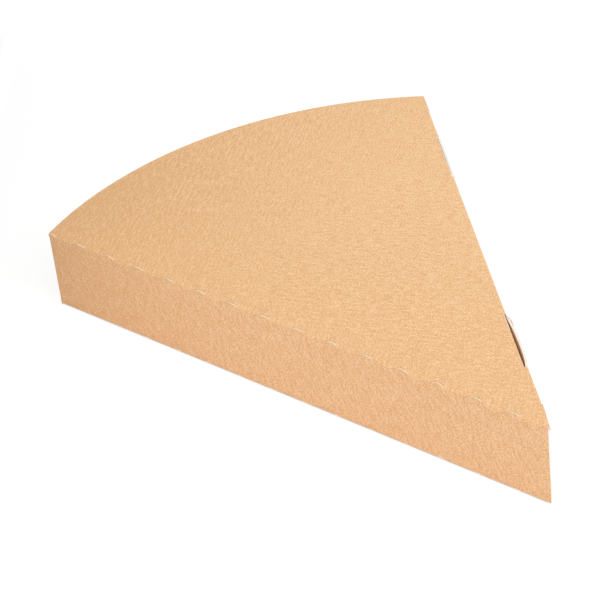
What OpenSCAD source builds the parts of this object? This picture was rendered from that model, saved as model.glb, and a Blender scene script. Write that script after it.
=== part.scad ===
// Triangular box for one slice of pizza, folded from a single sheet of micro-flute board.
// The hinge fold of the lid runs along X at the front, the tip points to +X and +Z is up.
// Each side is drawn in its own frame: the tip at zero, the outer face on the X axis,
// the crust end at -X and the inside of the box at +Y. The back side is its mirror image.

/* [Box] */
// Length of each straight side, outside
side_l = 240; // [200:1:320]
// Angle between the two straight sides at the tip
tip_angle = 45; // [38:0.5:54]
// How far the crust end bulges past the straight line between its corners
end_bulge = 28.5; // [16:0.5:36]
// Height of the closed box, outside
box_h = 35; // [30:0.5:60]

/* [Board] */
// Thickness of the board
board_t = 0.9; // [0.7:0.05:1.4]
// Inside radius of a fold
fold_in_r = 0.3; // [0.15:0.05:0.6]

/* [Cut folds] */
// Length of each cut along the two folds of the front wall
cut_l = 8; // [5:0.5:12]
// Length of the creased bridge between two cuts
bridge_l = 8; // [4:0.5:12]
// Distance from the crust corner to the tip side of the first cut
first_cut = 3.7; // [2:0.1:8]
// Part of each cut over which its tongue climbs to full height, from the crust side
cut_climb = 0.6; // [0.4:0.05:0.8]
// Gap between a tongue and the board that was cut away from it
cut_gap = 0.1; // [0.05:0.05:0.25]

/* [Walls] */
// Drop from the top of the lid to the top edge of the back wall
back_drop = 4.5; // [3.5:0.25:7]
// How far the front wall stops short of the tip at its top
front_short = 1; // [0.2:0.1:3]
// Gap between the back wall and the front wall at the tip
tip_gap = 0.35; // [0.1:0.05:1]
// Length of the glued flap that ends the curved wall inside the back wall
glue_l = 18; // [12:1:30]
// Drop from the top of the lid to the top of the glued flap
glue_drop = 9; // [8:0.5:12]
// Spacing of the score lines that let the end wall follow its curve
score_pitch = 12; // [8:0.5:20]
// Width of a score line
score_w = 0.8; // [0.4:0.1:1.4]
// Depth of a score line
score_d = 0.3; // [0.1:0.05:0.4]

/* [Lid] */
// Gap between the lid and the edges of the walls under it
seat_gap = 0.1; // [0.05:0.05:0.4]
// Length of each slot in the fold of the tuck flap
slot_l = 34; // [24:0.5:40]
// Distance from each end of the back edge to the nearer slot
slot_inset = 36; // [30:0.5:44]
// Clearance between a slot's long edge and the face of its tab
slot_gap = 0.4; // [0.2:0.05:0.8]

/* [Tuck flap] */
// Depth of the tuck flap below the top of the lid
flap_depth = 20; // [14:0.5:22]
// Lean of the tuck flap away from the back wall
flap_lean = 12; // [11:0.5:18]
// Distance from each end of the back edge to the flap
flap_inset = 14; // [12:0.5:24]
// Depth of the flap at its two ends
flap_end_depth = 3; // [2:0.25:4]
// Length over which the flap deepens from its tip end
flap_tip_taper = 62; // [56:1:90]
// Length over which the flap deepens from its crust end
flap_crust_taper = 26; // [14:1:40]
// Radius of the flap's lower corners
flap_corner_r = 8; // [4:0.5:12]
// Clearance between the tuck flap and the back wall
flap_gap = 0.4; // [0.3:0.05:0.8]

/* [Lock tabs] */
// Clearance between a tab's end and the end of its slot
tab_end_gap = 0.6; // [0.4:0.05:1.5]
// Radius of a tab's upper corners
tab_corner_r = 2.5; // [1:0.25:4]
// How far the tab near the crust end stands above the lid
far_tab_rise = 0.2; // [0:0.1:1.5]
// How far the tab near the tip stands above the lid
near_tab_rise = 0.8; // [0:0.1:1.5]
// How far the middle of the near tab is bowed out of line
near_tab_bow = 0.9; // [0:0.1:2]
// How far the near tab's crust side corner has sprung out of its slot
near_tab_spring = 1; // [0:0.1:2]

/* [Hidden] */
$fn = 144;
KRAFT = "#dcaa72";
eps = 0.01;
over = 5;
half = tip_angle / 2;
fold_r = fold_in_r + board_t;
fold_lap = 1.5 * fold_r;
chord = 2 * side_l * sin(half);
arc_r = (chord * chord / 4 + end_bulge * end_bulge) / (2 * end_bulge);
arc_c = (side_l * cos(half) + end_bulge - arc_r) * [-cos(half), sin(half)];
reach_x = arc_c.y > 0 ? arc_r - arc_c.x : side_l;
reach_y = side_l * sin(tip_angle);
cut_pitch = cut_l + bridge_l;
front_top = box_h - fold_r - seat_gap;
end_top = box_h - board_t - seat_gap;
back_top = box_h - back_drop;
back_start = (board_t + tip_gap) / sin(tip_angle) + board_t / tan(tip_angle);
back_end = side_l - 2 * board_t;
glue_film = 0.05;
flap_shift = board_t + flap_gap;
to_shoulder = [flap_shift - fold_r, back_drop - fold_r];
shoulder_lean = atan2(to_shoulder.x, to_shoulder.y) + asin(fold_r / norm(to_shoulder));
slot_starts = [slot_inset, side_l - slot_inset - slot_l];

// The same shape on the back side of the box
module on_back() mirror([sin(half), cos(half), 0]) children();

// Moves the drawing from the tip to the middle of the box's footprint
module in_place() translate([reach_x / 2, -reach_y / 2, 0]) children();

function unit(v) = v / norm(v);

// Points of a polygon whose corners are rounded, each with its own radius
function rounded(pts, radii, steps = 8) = [
    for (i = [0 : len(pts) - 1])
        let (p = pts[i],
             a = unit(pts[(i + len(pts) - 1) % len(pts)] - p),
             b = unit(pts[(i + 1) % len(pts)] - p),
             open = acos(a * b),
             back = radii[i] / tan(open / 2),
             c = p + unit(a + b) * radii[i] / sin(open / 2))
        each radii[i] == 0 ? [p] : [
            for (k = [0 : steps])
                c + radii[i] * unit((p + a * back - c) * (1 - k / steps) + (p + b * back - c) * k / steps)
        ]
];

// Area between the two sides, out to a given distance from the tip
module wedge(reach, front_in = 0, back_in = 0) {
    tip = [-(front_in * cos(tip_angle) + back_in) / sin(tip_angle), front_in];
    translate(tip) polygon([[0, 0], [-reach, 0], reach * [-cos(tip_angle), sin(tip_angle)]]);
}

// Round between a straight side and the curved end, as the piece to cut off the corner
module corner_waste(side_in, end_in, r) {
    far = arc_r - end_in - r;
    c = [arc_c.x - sqrt(far * far - pow(side_in + r - arc_c.y, 2)), side_in + r];
    side_touch = [c.x, side_in];
    end_touch = arc_c + (arc_r - end_in) * unit(c - arc_c);
    difference() {
        polygon([c, side_touch, side_touch + end_touch - c, end_touch]);
        translate(c) circle(r);
    }
}

// Outline of a panel, with each edge set in by its own distance
module outline(front_in = 0, back_in = 0, end_in = 0) intersection() {
    wedge(2 * side_l, front_in, back_in);
    union() {
        translate(arc_c) circle(arc_r - end_in);
        wedge(0.9 * side_l, front_in, back_in);
    }
}

// Bent strip of board seen end on, around its centre, with a short flat lead into the panel
module bend(turn) {
    intersection() {
        difference() {
            circle(fold_r);
            circle(fold_in_r);
        }
        polygon([[0, 0], [0, -2 * fold_r], [-2 * fold_r, -2 * fold_r], [-2 * fold_r, 0],
                 2 * fold_r * [-cos(turn - 90), sin(turn - 90)]]);
    }
    translate([0, -fold_r]) square([fold_r, board_t]);
}

// Straight bar along a side, from its section in the Y and Z directions
module along_side(from, to) translate([-to, 0, 0])
    rotate([90, 0, 90]) linear_extrude(to - from) children();

// Tongues that the cuts of a fold leave standing straight, flush with the outer face. The fold
// starts along X, the tongues stand along Z and Y runs through the board. Their back is round
// about the start of the fold, so that the board beyond it can swing clear of them.
module fold_tongues(root, through, gap = 0) {
    for (stop = [first_cut : cut_pitch : side_l + cut_l]) {
        start = stop - cut_l;
        from = max(start, fold_r);
        to = min(stop, side_l - front_short);
        if (to - from > board_t) intersection() {
            translate([-side_l, through[1], 0]) rotate([90, 0, 0])
                linear_extrude(through[1] - through[0]) intersection() {
                    polygon([[start - gap, root], [start - gap, gap],
                             [start - gap + cut_climb * cut_l, fold_r + gap],
                             [stop + gap - 0.1 * cut_l, fold_r + gap],
                             [stop + gap, gap], [stop + gap, root]]);
                    translate([from - gap, root - over])
                        square([to - from + 2 * gap, 2 * over + fold_r]);
                }
            translate([-side_l - over, 0, 0]) rotate([0, 90, 0])
                cylinder(r = fold_r + gap, h = side_l + 2 * over);
        }
    }
}

// Places the tongues at the fold between the bottom panel and the front wall
module at_bottom_fold() translate([0, fold_r, 0]) rotate([90, 0, 0]) children();

// Places the tongues at the fold between the front wall and the lid
module at_top_fold() translate([0, 0, box_h - fold_r]) children();

// Bottom panel with the two folds that carry the front and back walls
module floor_panel() {
    linear_extrude(board_t) outline(fold_lap, fold_lap, board_t / 2);
    intersection() {
        translate([0, 0, -over]) linear_extrude(3 * over) outline(-1, 0, 0);
        along_side(-over, side_l + over) translate([fold_r, fold_r]) bend(90);
    }
    on_back() along_side(back_start, back_end) translate([fold_r, fold_r]) bend(90);
}

// Front wall, cut a little short of the tip at its top
module front_wall() translate([0, board_t, 0]) rotate([90, 0, 0]) linear_extrude(board_t)
    polygon([[-side_l, fold_r], [-fold_r, fold_r], [0, 2 * fold_r],
             [-front_short, front_top], [-side_l, front_top]]);

// Wall that follows the crust end and is glued inside the back wall
module end_wall() difference() {
    linear_extrude(end_top) difference() {
        outline(0, board_t - glue_film, 0);
        outline(board_t, 2 * board_t, board_t);
    }
    on_back() translate([-(side_l - glue_l), -over, -eps]) cube([2 * side_l, 2 * over, box_h]);
    on_back() translate([-side_l + 3 * board_t, -over, box_h - glue_drop])
        cube([side_l, 2 * over, box_h]);
    translate([-side_l + fold_r, -over, -eps]) cube([side_l, over + 2 * board_t, box_h]);
    translate([-side_l - over, -over, front_top]) cube([side_l, over + 2 * fold_r, box_h]);
    score_lines();
}

// Score lines pressed into the outside of the end wall
module score_lines() {
    end_angle = 2 * asin(chord / 2 / arc_r);
    step = score_pitch / arc_r * 180 / PI;
    count = floor((end_angle / step - 1) / 2);
    for (i = [-count : count])
        translate(arc_c) rotate(180 - half + i * step)
            translate([arc_r - score_d, -score_w / 2, fold_r])
                cube([2 * score_d, score_w, end_top]);
}

// Lock tab that has sprung out of its slot: straight at its foot and bowed along its top
module bowed_tab(start, rise) {
    steps = 14;
    w = slot_l - 2 * tab_end_gap;
    top = box_h + rise;
    function out(f) = near_tab_bow * 4 * f * (1 - f) + near_tab_spring * f;
    function level(z, lean, y) = [
        for (i = [0 : steps]) let (f = i / steps) [-start - tab_end_gap - f * w, y - lean * out(f), z]
    ];
    function head_z(f) = top - tab_corner_r * (1 - sqrt(1 - pow(1 - min(1, f * w / tab_corner_r), 2)));
    function head(y) = [
        for (p = level(top, 1, y)) let (f = (-p.x - start - tab_end_gap) / w)
            [p.x, p.y, min(head_z(f), head_z(1 - f))]
    ];
    function strip(a, b) = [for (i = [0 : steps - 1]) each [[a + i, a + i + 1, b + i + 1], [a + i, b + i + 1, b + i]]];
    n = steps + 1;
    polyhedron(
        concat(level(back_top, 0, 0), head(0), level(back_top, 0, board_t), head(board_t)),
        concat(strip(n, 0), strip(2 * n, 3 * n), strip(0, 2 * n), strip(3 * n, n),
               [[0, n, 3 * n], [0, 3 * n, 2 * n]],
               [[steps, 2 * n + steps, 3 * n + steps], [steps, 3 * n + steps, n + steps]]));
}

// Back wall, folded up from the bottom panel, with its two lock tabs
module back_wall() on_back() {
    foot = slot_starts[1] + tab_end_gap;
    head = slot_starts[1] + slot_l - tab_end_gap;
    tab_top = box_h + far_tab_rise;
    translate([0, board_t, 0]) rotate([90, 0, 0]) linear_extrude(board_t)
        polygon(rounded(
            [[-back_start, fold_r], [-back_start, back_top], [-foot, back_top], [-foot, tab_top],
             [-head, tab_top], [-head, back_top], [-back_end, back_top], [-back_end, fold_r]],
            [0, 0, 0, tab_corner_r, tab_corner_r, 0, 0, 0]));
    bowed_tab(slot_starts[0], near_tab_rise);
}

module tray() color(KRAFT) in_place() union() {
    difference() {
        union() {
            floor_panel();
            front_wall();
            end_wall();
            back_wall();
        }
        translate([0, 0, -over]) linear_extrude(box_h + over) corner_waste(0, 0, fold_r);
        at_bottom_fold() fold_tongues(0, [-over, over], cut_gap);
    }
    at_bottom_fold() fold_tongues(-board_t / 2, [0, board_t]);
    at_top_fold() fold_tongues(-board_t / 2, [0, board_t]);
}

// Section of the tuck flap: round fold, shoulder over the back wall, then the flap itself
module flap_section() {
    c = [fold_r, box_h - fold_r];
    down = [sin(shoulder_lean), -cos(shoulder_lean)];
    away = [cos(shoulder_lean), sin(shoulder_lean)];
    low_down = [sin(flap_lean), -cos(flap_lean)];
    low_away = [cos(flap_lean), sin(flap_lean)];
    bend_out = c - fold_r * away;
    bend_in = c - fold_in_r * away;
    knee = [flap_shift, back_top];
    knee_in = knee + board_t * (away + low_away) / (1 + away * low_away);
    toe = knee + low_down * (flap_depth + over - back_drop) / cos(flap_lean);
    polygon([bend_out, knee, toe, toe + board_t * low_away, knee_in, bend_in]);
    translate(c) mirror([0, 1]) bend(90 + shoulder_lean);
}

// Outline of the tuck flap seen from behind
module flap_outline() {
    ends = [flap_inset, side_l - flap_inset];
    top = box_h + over;
    end_z = box_h - flap_end_depth;
    low_z = box_h - flap_depth;
    polygon(rounded(
        [[-ends[0], top], [-ends[1], top], [-ends[1], end_z], [-ends[1] + flap_crust_taper, low_z],
         [-ends[0] - flap_tip_taper, low_z], [-ends[0], end_z]],
        [0, 0, 0, flap_corner_r, flap_corner_r, 0]));
}

module tuck_flap() intersection() {
    along_side(0, side_l) flap_section();
    translate([0, 2 * over + flap_depth, 0]) rotate([90, 0, 0])
        linear_extrude(3 * over + flap_depth) flap_outline();
}

// Slots through the fold of the tuck flap, clear of the lock tabs
module slots() for (start = slot_starts) {
    translate([-start - slot_l, -over, box_h - board_t - eps])
        cube([slot_l, over + board_t + slot_gap, over]);
    translate([-start - slot_l, -over, back_top - slot_gap])
        cube([slot_l, 2 * over, back_drop + slot_gap - board_t]);
}

// Lid panel: the fold of the tuck flap takes the place of its edge between the flap's ends
module lid_panel() difference() {
    translate([0, 0, box_h - board_t]) linear_extrude(board_t) outline(fold_lap, 0, 0);
    on_back() translate([-(side_l - flap_inset), -over, box_h - board_t - over])
        cube([side_l - 2 * flap_inset, over + fold_lap, 2 * over]);
}

// Fold along the front edge of the lid, which is the hinge of the box
module hinge_fold() intersection() {
    along_side(-over, side_l + over) translate([fold_r, box_h - fold_r]) mirror([0, 1]) bend(90);
    translate([0, 0, box_h - 2 * over]) linear_extrude(3 * over) outline(-1, 0, 0);
}

module lid() color(KRAFT) in_place() difference() {
    union() {
        lid_panel();
        hinge_fold();
        on_back() tuck_flap();
    }
    on_back() slots();
    at_top_fold() fold_tongues(-over, [-over, over], cut_gap);
}

tray();
lid();
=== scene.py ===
import math
import random

import bpy
import numpy as np
from bpy.props import (
    FloatProperty, FloatVectorProperty, IntProperty, PointerProperty, StringProperty,
)
from mathutils import Matrix, Vector, geometry


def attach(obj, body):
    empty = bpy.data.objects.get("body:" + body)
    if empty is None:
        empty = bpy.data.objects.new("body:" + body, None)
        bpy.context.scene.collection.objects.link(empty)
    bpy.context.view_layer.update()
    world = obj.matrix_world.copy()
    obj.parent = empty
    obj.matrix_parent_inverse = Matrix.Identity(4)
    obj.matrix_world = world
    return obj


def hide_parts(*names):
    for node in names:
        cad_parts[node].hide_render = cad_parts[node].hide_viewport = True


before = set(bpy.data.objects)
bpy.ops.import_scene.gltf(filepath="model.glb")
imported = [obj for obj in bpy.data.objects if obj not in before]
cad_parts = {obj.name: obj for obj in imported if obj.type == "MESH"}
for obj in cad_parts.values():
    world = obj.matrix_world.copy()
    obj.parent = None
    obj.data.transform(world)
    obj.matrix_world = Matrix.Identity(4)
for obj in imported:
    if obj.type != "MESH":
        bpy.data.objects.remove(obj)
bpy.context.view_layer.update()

bl_info = {
    "name": "Slice box",
    "version": (1, 0, 0),
    "blender": (4, 5, 0),
    "location": "View3D > Sidebar > Slice Box",
    "description": "Builds a closed triangular slice box, folded from kraft micro-flute board",
    "category": "Add Mesh",
}


# Sizes and colours

class BoxSizes(bpy.types.PropertyGroup):
    """Sizes of the folded box"""

    side: FloatProperty(
        name="Side", description="Length of each straight side", default=0.240, unit="LENGTH")
    tip_angle: FloatProperty(
        name="Tip angle", description="Angle between the two straight sides",
        default=math.radians(45), subtype="ANGLE")
    bulge: FloatProperty(
        name="Bulge", description="How far the crust end bulges past its chord",
        default=0.0285, unit="LENGTH")
    height: FloatProperty(
        name="Height", description="Height of the closed box", default=0.035, unit="LENGTH")
    board: FloatProperty(
        name="Board", description="Thickness of the board", default=0.0009, unit="LENGTH")
    fold_in: FloatProperty(
        name="Fold", description="Inside radius of a fold", default=0.0003, unit="LENGTH")
    back_drop: FloatProperty(
        name="Back drop", description="Drop from the lid's top to the back wall's top edge",
        default=0.0045, unit="LENGTH")
    front_short: FloatProperty(
        name="Front short", description="How far the front wall stops short of the tip at its top",
        default=0.001, unit="LENGTH")
    tip_gap: FloatProperty(
        name="Tip gap", description="Gap between the back wall and the front wall at the tip",
        default=0.00035, unit="LENGTH")
    bow: FloatProperty(
        name="Bow", description="How far the back edge is drawn in between its two slots",
        default=0.0001, unit="LENGTH")
    spread: FloatProperty(
        name="Spread",
        description="How far the back edge stands out between the near tab and the tip",
        default=0.0005, unit="LENGTH")


class CutSizes(bpy.types.PropertyGroup):
    """Sizes of the cuts along the two folds of the front wall"""

    length: FloatProperty(
        name="Cut", description="Length of each cut", default=0.008, unit="LENGTH")
    bridge: FloatProperty(
        name="Bridge", description="Creased length between two cuts", default=0.008, unit="LENGTH")
    first: FloatProperty(
        name="First", description="Distance from the crust corner to the end of the first cut",
        default=0.0037, unit="LENGTH")
    climb: FloatProperty(
        name="Climb", description="Part of a cut over which its tongue climbs",
        default=0.6, min=0.1, max=0.9)
    rise: FloatProperty(
        name="Rise", description="How far the wall's tongues stand above the lid",
        default=0.0006, unit="LENGTH")
    gap: FloatProperty(
        name="Gap", description="Gap round a tongue", default=0.00005, unit="LENGTH")
    fuzz: FloatProperty(
        name="Fuzz", description="Length of a torn fibre at the end of a cut",
        default=0.0009, unit="LENGTH")
    fibres: IntProperty(
        name="Fibres", description="Torn fibres at the end of each cut", default=14, min=1)


class LockSizes(bpy.types.PropertyGroup):
    """Sizes of the slots, the lock tabs and the tuck flap"""

    slot: FloatProperty(
        name="Slot", description="Length of each slot", default=0.034, unit="LENGTH")
    inset: FloatProperty(
        name="Inset", description="Distance from each end of the back edge to the nearer slot",
        default=0.036, unit="LENGTH")
    slot_gap: FloatProperty(
        name="Slot gap", description="Clearance between a tab and its slot's long edge",
        default=0.00005, unit="LENGTH")
    end_gap: FloatProperty(
        name="End gap", description="Clearance at each end of a tab", default=0.0006, unit="LENGTH")
    corner: FloatProperty(
        name="Tab corner", description="Radius of a tab's corners", default=0.0025, unit="LENGTH")
    far_rise: FloatProperty(
        name="Far rise", description="How far the tab near the crust end stands above the lid",
        default=0.0002, unit="LENGTH")
    near_rise: FloatProperty(
        name="Near rise", description="How far the tab near the tip stands above the lid",
        default=0.0003, unit="LENGTH")
    near_bow: FloatProperty(
        name="Near bow", description="How far the near tab is bowed out", default=0.0007,
        unit="LENGTH")
    lean: FloatProperty(
        name="Tab lean", description="How far the tops of the tabs lean out", default=0.0001,
        unit="LENGTH")
    flap_depth: FloatProperty(
        name="Flap depth", description="Depth of the tuck flap", default=0.020, unit="LENGTH")
    flap_lean: FloatProperty(
        name="Flap lean", description="Lean of the tuck flap into the box",
        default=math.radians(12), subtype="ANGLE")
    flap_inset: FloatProperty(
        name="Flap inset", description="Distance from each end of the back edge to the flap",
        default=0.014, unit="LENGTH")
    flap_gap: FloatProperty(
        name="Flap gap", description="Clearance between the flap and the back wall",
        default=0.0004, unit="LENGTH")


class WallSizes(bpy.types.PropertyGroup):
    """Sizes of the curved end wall"""

    glue: FloatProperty(
        name="Glue flap", description="Length of the glued flap", default=0.018, unit="LENGTH")
    glue_drop: FloatProperty(
        name="Glue drop", description="Drop from the lid's top to the glued flap's top",
        default=0.009, unit="LENGTH")
    pitch: FloatProperty(
        name="Score pitch", description="Spacing of the score lines", default=0.012, unit="LENGTH")
    width: FloatProperty(
        name="Score width", description="Width of a score line", default=0.0008, unit="LENGTH")
    depth: FloatProperty(
        name="Score depth", description="Depth of a score line", default=0.0003, unit="LENGTH")


class Finish(bpy.types.PropertyGroup):
    """Colours and pattern sizes of the board"""

    pale: StringProperty(
        name="Pale", description="Palest fibres of the outer liner", default="#FAD1A2")
    deep: StringProperty(
        name="Deep", description="Deepest fibres of the outer liner", default="#E6B27D")
    pale_in: StringProperty(
        name="Pale inside", description="Palest fibres of the inner liner", default="#F4C898")
    deep_in: StringProperty(
        name="Deep inside", description="Deepest fibres of the inner liner", default="#DEA972")
    # The cut edge's near-white is partly its broken fibre and partly a painted highlight of the
    # strong light on the edges; the hollow between the flutes is a little deeper as painted shade
    core: StringProperty(
        name="Cut edge", description="Colour of a freshly cut edge", default="#FFF9F0")
    hollow_shade: StringProperty(
        name="Hollow", description="Colour of a cut edge between the flutes", default="#F8EEDF")
    rim: StringProperty(
        name="Rim", description="Colour of the two liners in a cut edge", default="#EDBE88")
    crushed: StringProperty(
        name="Crushed edge", description="Colour of a cut edge crushed at a fold",
        default="#FFDDB4")
    torn: StringProperty(
        name="Torn fibre", description="Colour of a torn fibre", default="#FFF1DF")
    liner: StringProperty(
        name="Torn liner", description="Colour of the torn strip of liner", default="#CB8849")
    scuffed: StringProperty(
        name="Scuffed edge", description="Colour of the liner where a slot's edge is rubbed pale",
        default="#FFEBD2")
    flute: FloatProperty(
        name="Flute pitch", description="Spacing of the flutes", default=0.0018, unit="LENGTH")
    flute_turn: FloatProperty(
        name="Flute angle", description="Angle between the flutes and the front folds",
        default=math.radians(66.1), subtype="ANGLE")


class Studio(bpy.types.PropertyGroup):
    """Camera and lights"""

    eye: FloatVectorProperty(
        name="Camera", description="Place of the camera", size=3, unit="LENGTH",
        default=(0.40169, -0.53388, 0.46626))
    ahead: FloatVectorProperty(
        name="Ahead", description="Direction the camera looks in", size=3,
        default=(-0.53488, 0.61965, -0.5744))
    above: FloatVectorProperty(
        name="Above", description="Direction that is up in the picture", size=3,
        default=(-0.29741, 0.49824, 0.81444))
    lens: FloatProperty(name="Lens", description="Focal length in mm", default=117.5)
    sky: FloatProperty(name="Sky", description="Strength of the even light", default=0.74)
    key: FloatProperty(
        name="Key light", description="Power of the soft key light", default=11.5, unit="POWER")


GROUPS = {
    "slice_box": BoxSizes, "slice_cuts": CutSizes, "slice_locks": LockSizes,
    "slice_wall": WallSizes, "slice_finish": Finish, "slice_studio": Studio,
}


# The folded form

def ease(f):
    """Smooth step from 0 to 1"""
    f = min(max(f, 0.0), 1.0)
    return f * f * (3 - 2 * f)


class Form:
    """The folded box: it places points of the flat sheet. Each side is drawn from the tip along
    -X with the inside of the box at +Y, and the back side is its mirror image."""

    def __init__(self, scene):
        b, c, k, w = scene.slice_box, scene.slice_cuts, scene.slice_locks, scene.slice_wall
        self.box, self.cuts, self.locks, self.wall = b, c, k, w
        self.side, self.high, self.t = b.side, b.height, b.board
        self.r = b.board + b.fold_in
        self.quarter = self.r * math.pi / 2
        self.sin, self.cos = math.sin(b.tip_angle), math.cos(b.tip_angle)
        half = b.tip_angle / 2
        self.axis = Vector((math.sin(half), math.cos(half)))
        chord = 2 * b.side * math.sin(half)
        self.arc_r = (chord ** 2 / 4 + b.bulge ** 2) / (2 * b.bulge)
        reach = b.side * math.cos(half) + b.bulge - self.arc_r
        self.arc_c = Vector((-reach * math.cos(half), reach * math.sin(half)))
        self.shift = Vector(((self.arc_r - self.arc_c.x) / 2, -b.side * self.sin / 2, 0))
        self.wall_top = b.height - self.r
        self.upper, self.lower = self.r + c.rise, self.r
        self.crushed = 0.82
        self.wall_run = self.quarter + self.wall_top - self.r
        self.back_top = b.height - b.back_drop
        self.back_ends = ((b.board + b.tip_gap) / self.sin + b.board * self.cos / self.sin,
                          b.side - 2 * b.board)
        knee_n = b.board + k.flap_gap
        dx, dz = knee_n - self.r, b.back_drop - self.r
        lean = math.atan2(dx, dz) + math.asin(self.r / math.hypot(dx, dz))
        self.shoulder = lean
        self.flap_turn = self.r * (math.pi / 2 + lean)
        away = Vector((math.cos(lean), math.sin(lean)))
        bend_out = Vector((self.r, b.height - self.r)) - self.r * away
        self.knee = Vector((knee_n, self.back_top))
        self.knee_run = self.flap_turn + (self.knee - bend_out).length
        self.slots = [k.inset, b.side - k.inset - k.slot]
        self.rng = random.Random(7)
        self.marks = []
        stop = c.first
        while stop < b.side + c.length:
            low, high = max(stop - c.length, self.r), min(stop, b.side - b.front_short)
            if high - low > b.board:
                self.marks.append((stop, low, high, self.rng.uniform(0.92, 1.0)))
            stop += c.length + c.bridge

    def mirror(self, x, y):
        """The same point on the other straight side"""
        k = 2 * (x * self.axis.x + y * self.axis.y)
        return x - k * self.axis.x, y - k * self.axis.y

    def place(self, x, y, z):
        return Vector((x, y, z)) + self.shift

    def drawn_in(self, s, n):
        """How far the back edge is drawn in at a distance s from the tip and n from the edge"""
        low, high = self.slots
        run = self.locks.slot
        edge = ease((s - low) / run) * ease((high + run - s) / run)
        edge *= self.box.bow
        edge -= self.box.spread * ease(s / 0.012) * ease((low + run - s) / run)
        return edge * min(max(1 - n / 0.03, 0), 1) ** 2

    def tongue(self, u, tall, extra=0.0):
        """Height of the tongue at a distance u from the crust corner, or -1 beside the tongues"""
        c = self.cuts
        for stop, low, high, share in self.marks:
            if low - extra - 1e-9 <= u <= high + extra + 1e-9:
                up = (u - stop + c.length + extra) / (c.climb * c.length)
                down = (stop + extra - u) / (0.1 * c.length)
                slack = 1 - 0.3 * ease((u - stop) / (0.35 * c.length) + 1)
                return min(1, ease(up) * slack, max(down, 0)) * tall * share
        return -1

    def notch(self, u, tall):
        """Length of the notch in the bend over a tongue, along its outer and its inner face. The
        tongue passes clear through it as the bend swings round the start of its outer face."""
        h = self.tongue(u, tall, self.cuts.gap)
        if h < 0:
            return 0.0, 0.0
        gap, r, q = self.cuts.gap, self.r, self.quarter
        sweep = math.hypot(self.t, h * self.crushed) + gap
        angle = math.asin(min(1, (h + gap) / r))
        outer = r * angle
        if math.pi / 2 - angle / 2 < math.atan2(h * self.crushed, self.t):
            if sweep < r * math.sqrt(2):
                outer = 2 * r * math.asin(sweep / (2 * r))
            else:
                outer = q + math.sqrt(sweep ** 2 - r ** 2) - r
        back = math.sqrt(sweep ** 2 - (r - self.t) ** 2)
        if back > r:
            inner = q + back - r
        else:
            inner = r * math.acos(min(1, (r - back) / (r - self.t)))
        return outer, max(inner, outer)

    def bend(self, run, d):
        """Quarter bend that starts upright at the origin: how far in and up a point lies"""
        angle = run / self.r
        return self.r - (self.r - d) * math.cos(angle), (self.r - d) * math.sin(angle)

    def undercut(self, u, tall, run, d):
        """Extra run of the inner liner behind a notch, whose cut face is slanted"""
        outer, inner = self.notch(u, tall)
        return (inner - outer) * d / self.t * min(1, max(0, 1 - (run - outer) / 0.002))

    def lid(self, x, y, d):
        """Lid panel, its hinge fold and the tuck flap"""
        b = self.box
        s, n = self.mirror(x, y)
        s = -s
        run = self.quarter + y - self.r
        if d > 0 and y < 0.005:
            run += self.undercut(x + self.side, self.upper, run, d)
        if run < self.quarter - 1e-9:
            inward, up = self.bend(run, d)
            return self.place(x, inward, self.wall_top + up)
        y = self.r + run - self.quarter
        flap = self.locks.flap_inset - 1e-6 <= s <= b.side - self.locks.flap_inset + 1e-6
        if n >= self.r - 1e-9 or not flap:
            move = self.drawn_in(s, n)
            return self.place(x - move * self.sin, y - move * self.cos, b.height - d)
        run = self.r - n
        lean, low = self.shoulder, self.locks.flap_lean
        if run <= self.flap_turn:
            angle = run / self.r
            depth = self.r - (self.r - d) * math.sin(angle)
            z = b.height - self.r + (self.r - d) * math.cos(angle)
        else:
            down = Vector((math.sin(lean), -math.cos(lean)))
            away = Vector((math.cos(lean), math.sin(lean)))
            down2 = Vector((math.sin(low), -math.cos(low)))
            away2 = Vector((math.cos(low), math.sin(low)))
            past = run - self.knee_run
            if abs(past) < 1e-7:
                p = self.knee + d * (away + away2) / (1 + away @ away2)
            elif past < 0:
                p = self.knee + past * down + d * away
            else:
                p = self.knee + past * down2 + d * away2
            depth, z = p
        return self.back(s, depth + self.drawn_in(s, depth), z)

    def back(self, s, n, z):
        return self.place(*self.mirror(-s, n), z)

    def front(self, x, run, d):
        """Front wall, from the start of its bottom fold to the tops of its tongues"""
        u = x + self.side
        if d > 0 and run < 0.005:
            run += self.undercut(u, self.lower, run, d)
        if run < self.quarter:
            up, out = self.bend(run, d)
            return self.place(x, self.r - out, up)
        z = self.r + run - self.quarter
        if z > self.wall_top:
            z -= (z - self.wall_top) * (1 - self.crushed) * d / self.t
        return self.place(x, d, z)

    def base(self, x, y, d):
        """Bottom panel with the tongues of its front fold, the back wall and the lock tabs"""
        s, n = self.mirror(x, y)
        s = -s
        if y < self.r:
            return self.place(x, y + (self.r - y) * (1 - self.crushed) * d / self.t, d)
        if n >= self.r or not self.back_ends[0] - 1e-6 <= s <= self.back_ends[1] + 1e-6:
            return self.place(x, y, d)
        run = self.r - n
        if run < self.quarter:
            up, out = self.bend(self.quarter - run, d)
            angle = run / self.r
            return self.back(s, self.r - (self.r - d) * math.sin(angle),
                             self.r - (self.r - d) * math.cos(angle))
        z = self.r + run - self.quarter
        k = self.locks
        lean = self.drawn_in(s, 0) * (z / self.high) ** 2
        if z > self.back_top:
            f = (z - self.back_top) / (self.high - self.back_top)
            out = k.lean
            if s < self.side / 2:
                g = (s - self.slots[0] - k.end_gap) / (k.slot - 2 * k.end_gap)
                out += k.near_bow * 4 * g * (1 - g)
            lean -= out * f
        return self.back(s, d + lean, z)


# Boards as meshes

# How far one board sinks into the next where the real sheet goes on
OVERLAP = 0.00002


def in_scene(name, data):
    """A new object in the scene"""
    obj = bpy.data.objects.new(name, data)
    bpy.context.scene.collection.objects.link(obj)
    return obj


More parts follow.
